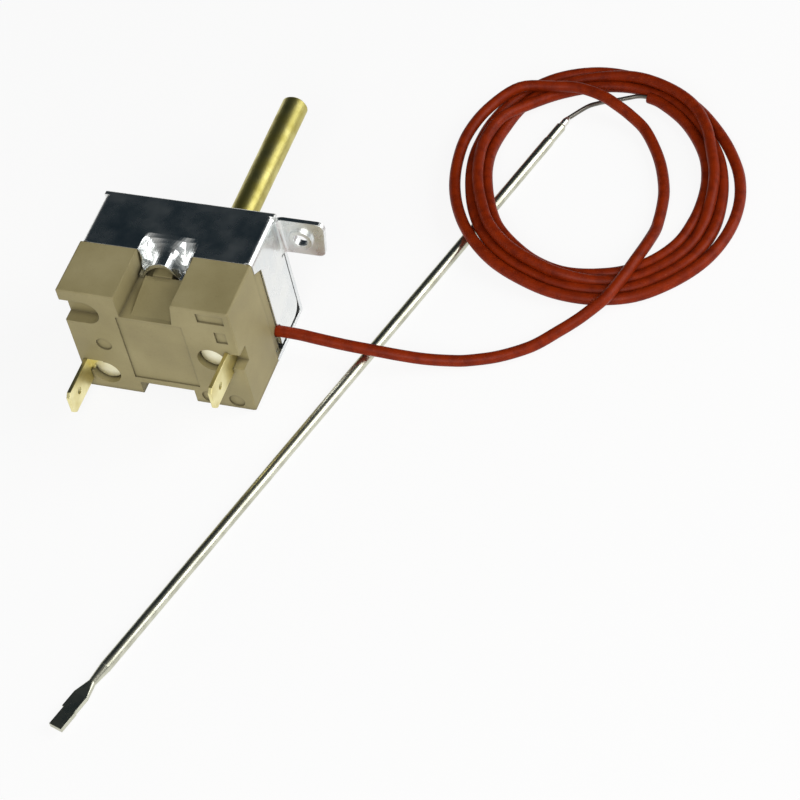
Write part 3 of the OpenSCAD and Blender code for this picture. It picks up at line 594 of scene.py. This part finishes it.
    def coil_points(self) -> list[Vector]:
        """Works out the coil.

        Returns:
            Its points, in the order in which the sleeve runs.
        """
        points = [self.coil_point(self.first_angle + self.step_angle * i, *place)
                  for i, place in enumerate(self.coil)]
        return points + [self.coil_point(self.end_angle, *self.coil[-1])]

    def sleeve_line(self) -> list[Vector]:
        """Works out the sleeve's centreline.

        Returns:
            Its points from inside the head to the cut end, none of them too near the floor.
        """
        line = catmull([Vector(p) * MM for p in self.lead + self.loop] + self.coil_points(), SMOOTH_STEPS)
        lowest = FLOOR + self.sleeve_dia / 2
        for point in line:
            point.z = max(point.z, lowest)
        return line

    def build(self, case: str) -> None:
        """Makes the sleeve and the bare capillary and attaches both to the carrying body.

        Args:
            case: The body that carries them.
        """
        line = self.sleeve_line()
        sleeve = round_curve("sleeve", line, self.sleeve_dia / 2)
        sleeve.data.materials.append(SILICONE.build())
        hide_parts("sleeve_lead", "sleeve_coil")
        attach(sleeve, case)
        hidden = self.coil_points()[-self.hidden_points:]
        tail = catmull(hidden + [Vector(p) * MM for p in self.tail], SMOOTH_STEPS)
        bare = round_curve("capillary", tail, self.capillary_dia / 2)
        bare.data.materials.append(DRAWN.build())
        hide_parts("bare_capillary")
        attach(bare, case)
        LOG.info("sleeve %.0f mm, capillary %.0f mm", length_of(line) / MM, length_of(tail) / MM)


@dataclass(frozen=True)
class Softbox:
    """A soft square lamp that stands in a direction from the object."""

    name: str
    toward: Point
    distance: float
    size: float
    watts: float

    def build(self) -> None:
        """Makes the lamp, turned towards the object."""
        data = bpy.data.lights.new(self.name, "AREA")
        data.size = self.size
        data.energy = self.watts
        lamp = bpy.data.objects.new(self.name, data)
        toward = Vector(self.toward).normalized()
        lamp.location = toward * self.distance
        lamp.rotation_euler = toward.to_track_quat("Z", "Y").to_euler()
        bpy.context.scene.collection.objects.link(lamp)


@dataclass
class Studio:
    """White table in a dim room, with one softbox on the right and one beside the camera."""

    half: float = 1.5
    gap: float = 0.05 * MM
    paint: Rgb = (0.92, 0.92, 0.91)
    white_share: float = 0.88
    near_strength: float = 0.42
    far_strength: float = 0.1
    near_end: float = -0.45
    far_end: float = 0.2
    dark_side: Point = (-0.32, 0.574, 0.7535)
    dark_from: float = 0.8
    dark_full: float = 0.93
    dark_strength: float = 0.21
    dark_tint: Rgb = (0.27, 0.68, 1.0)
    room_tint: Rgb = (1.0, 1.0, 0.98)
    softboxes: tuple[Softbox, ...] = (
        Softbox("right_box", (0.83, 0.33, 0.45), 0.7, 0.55, 3.0),
        Softbox("front_box", (0.25, -0.75, 0.62), 0.8, 0.5, 3.4),
    )

    def build(self) -> None:
        """Makes the floor, the room and the lamps."""
        self.make_floor()
        self.make_room()
        for box in self.softboxes:
            box.build()

    def make_floor(self) -> None:
        """Makes a large table top that shows white and keeps the shadow."""
        mesh = bpy.data.meshes.new("floor")
        h = self.half
        z = FLOOR - self.gap
        mesh.from_pydata([(-h, -h, z), (h, -h, z), (h, h, z), (-h, h, z)], [], [(0, 1, 2, 3)])
        floor = bpy.data.objects.new("floor", mesh)
        bpy.context.scene.collection.objects.link(floor)
        look = NodeTree("floor_paint")
        look.set(Base_Color=self.paint, Roughness=0.9, Specular_IOR_Level=0.1)
        self.whiten(look)
        mesh.materials.append(look.material)

    def whiten(self, look: NodeTree) -> None:
        """Lets the camera and reflections see the table near white, while it still takes shadows.

        Args:
            look: The table's material.
        """
        nodes, links = look.tree.nodes, look.tree.links
        path = nodes.new("ShaderNodeLightPath")
        seen = nodes.new("ShaderNodeMath")
        seen.operation = "MAXIMUM"
        links.new(path.outputs["Is Camera Ray"], seen.inputs[0])
        links.new(path.outputs["Is Glossy Ray"], seen.inputs[1])
        share = nodes.new("ShaderNodeMath")
        share.operation = "MULTIPLY"
        share.inputs[1].default_value = self.white_share
        links.new(seen.outputs[0], share.inputs[0])
        white = nodes.new("ShaderNodeEmission")
        mix = nodes.new("ShaderNodeMixShader")
        links.new(share.outputs[0], mix.inputs[0])
        links.new(look.shader.outputs[0], mix.inputs[1])
        links.new(white.outputs[0], mix.inputs[2])
        links.new(mix.outputs[0], nodes["Material Output"].inputs["Surface"])

    def make_room(self) -> None:
        """Makes a room that is brighter behind the camera, dim beyond the part and bluish where dark."""
        world = bpy.data.worlds.new("studio")
        world.use_nodes = True
        nodes, links = world.node_tree.nodes, world.node_tree.links
        place = nodes.new("ShaderNodeTexCoord").outputs["Generated"]
        split = nodes.new("ShaderNodeSeparateXYZ")
        links.new(place, split.inputs[0])
        side = nodes.new("ShaderNodeMapRange")
        set_range(side, self.near_end, self.far_end, self.near_strength, self.far_strength)
        links.new(split.outputs["Y"], side.inputs["Value"])
        away = nodes.new("ShaderNodeVectorMath")
        away.operation = "DOT_PRODUCT"
        away.inputs[1].default_value = self.dark_side
        links.new(place, away.inputs[0])
        shade = nodes.new("ShaderNodeMapRange")
        set_range(shade, self.dark_from, self.dark_full, 1.0, self.dark_strength)
        links.new(away.outputs["Value"], shade.inputs["Value"])
        strength = nodes.new("ShaderNodeMath")
        strength.operation = "MULTIPLY"
        links.new(side.outputs[0], strength.inputs[0])
        links.new(shade.outputs[0], strength.inputs[1])
        tint = nodes.new("ShaderNodeMix")
        tint.data_type = "RGBA"
        tint.inputs[6].default_value = (*self.dark_tint, 1.0)
        tint.inputs[7].default_value = (*self.room_tint, 1.0)
        links.new(shade.outputs[0], tint.inputs[0])
        background = nodes["Background"]
        links.new(tint.outputs[2], background.inputs["Color"])
        links.new(strength.outputs[0], background.inputs["Strength"])
        bpy.context.scene.world = world


@dataclass
class Finisher:
    """Puts a finish on every carried-over node."""

    nodes: dict[str, bpy.types.Object]
    made: dict[str, bpy.types.Material] = field(default_factory=dict)

    def material(self, finish: MouldedPlastic | PlatedSheet | RolledMetal) -> bpy.types.Material:
        """Finds or makes a material.

        Args:
            finish: The finish.

        Returns:
            Its material, which all pieces of this finish share.
        """
        if finish.name not in self.made:
            self.made[finish.name] = finish.build()
        return self.made[finish.name]

    def build(self) -> None:
        """Dresses each node of the table."""
        for name, finish in NODE_FINISH.items():
            piece = self.nodes[name]
            piece.data.materials.clear()
            piece.data.materials.append(self.material(finish))
            LOG.info("%s in %s", name, finish.name)


def main() -> None:
    """Builds the scene in order."""
    logging.basicConfig(level=logging.INFO, format="%(name)s: %(message)s")
    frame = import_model()
    PhotoCamera().build()
    SleevedCapillary().build("case")
    Finisher(frame["nodes"]).build()
    Studio().build()
    scene = bpy.context.scene
    scene.view_settings.view_transform = "Standard"
    LOG.info("done")


if __name__ == "__main__":
    main()
